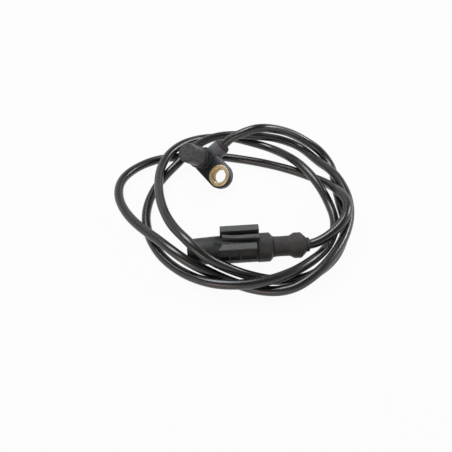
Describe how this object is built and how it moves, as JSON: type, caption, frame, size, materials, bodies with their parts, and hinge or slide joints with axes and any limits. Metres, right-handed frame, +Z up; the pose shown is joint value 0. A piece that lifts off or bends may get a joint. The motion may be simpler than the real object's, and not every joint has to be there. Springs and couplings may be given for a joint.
{
  "type": "abs wheel speed sensor",
  "caption": "Barrel-shaped wheel speed sensor with a bushed mounting lug, a long coiled round cable and a two-pin locking plug.",
  "frame": {"origin": "on the surface that the sensor lies on, under the middle of the sensor head's bounding box, the cable and plug left out", "axes": "+Z up from the surface; +X to the right in the picture, from the head towards the loops' right side; +Y away from the picture's camera"},
  "size_m": [0.1368, 0.1254, 0.0304],
  "materials": {
    "housing_plastic": "satin moulded plastic, dark grey",
    "plug_plastic": "satin moulded plastic, charcoal",
    "bush_brass": "pale turned brass",
    "seal_rubber": "black rubber",
    "boot_rubber": "dark grey moulded rubber",
    "cable_jacket": "smooth black polyurethane, half gloss",
    "chip_plastic": "black epoxy",
    "magnet_iron": "sintered magnet, dark grey",
    "white_plastic": "off-white plastic",
    "tinned_contact": "tin-plated brass",
    "core_blue": "blue insulation over copper strands",
    "core_brown": "brown insulation over copper strands",
    "silicone": "orange silicone rubber"
  },
  "bodies": {
    "root": {"sensor_housing": "housing_plastic", "mounting_bush": "bush_brass", "barrel_seal": "seal_rubber", "sensor_cap": "housing_plastic", "sensing_chip": "chip_plastic", "bias_magnet": "magnet_iron", "lead_carrier": "white_plastic", "sensor_lead_a": "tinned_contact", "crimp_a": "tinned_contact", "head_core_a": "core_blue", "sensor_lead_b": "tinned_contact", "crimp_b": "tinned_contact", "head_core_b": "core_brown", "boss_grommet": "seal_rubber", "strain_relief": "boot_rubber", "plug_housing": "plug_plastic", "terminal_block": "white_plastic", "contact_pin_a": "tinned_contact", "wire_seal_a": "silicone", "plug_core_a": "core_blue", "contact_pin_b": "tinned_contact", "wire_seal_b": "silicone", "plug_core_b": "core_brown", "face_seal": "silicone", "rear_boot": "boot_rubber", "cable_clamp_ring": "plug_plastic", "cable": "cable_jacket"}
  },
  "joints": []
}
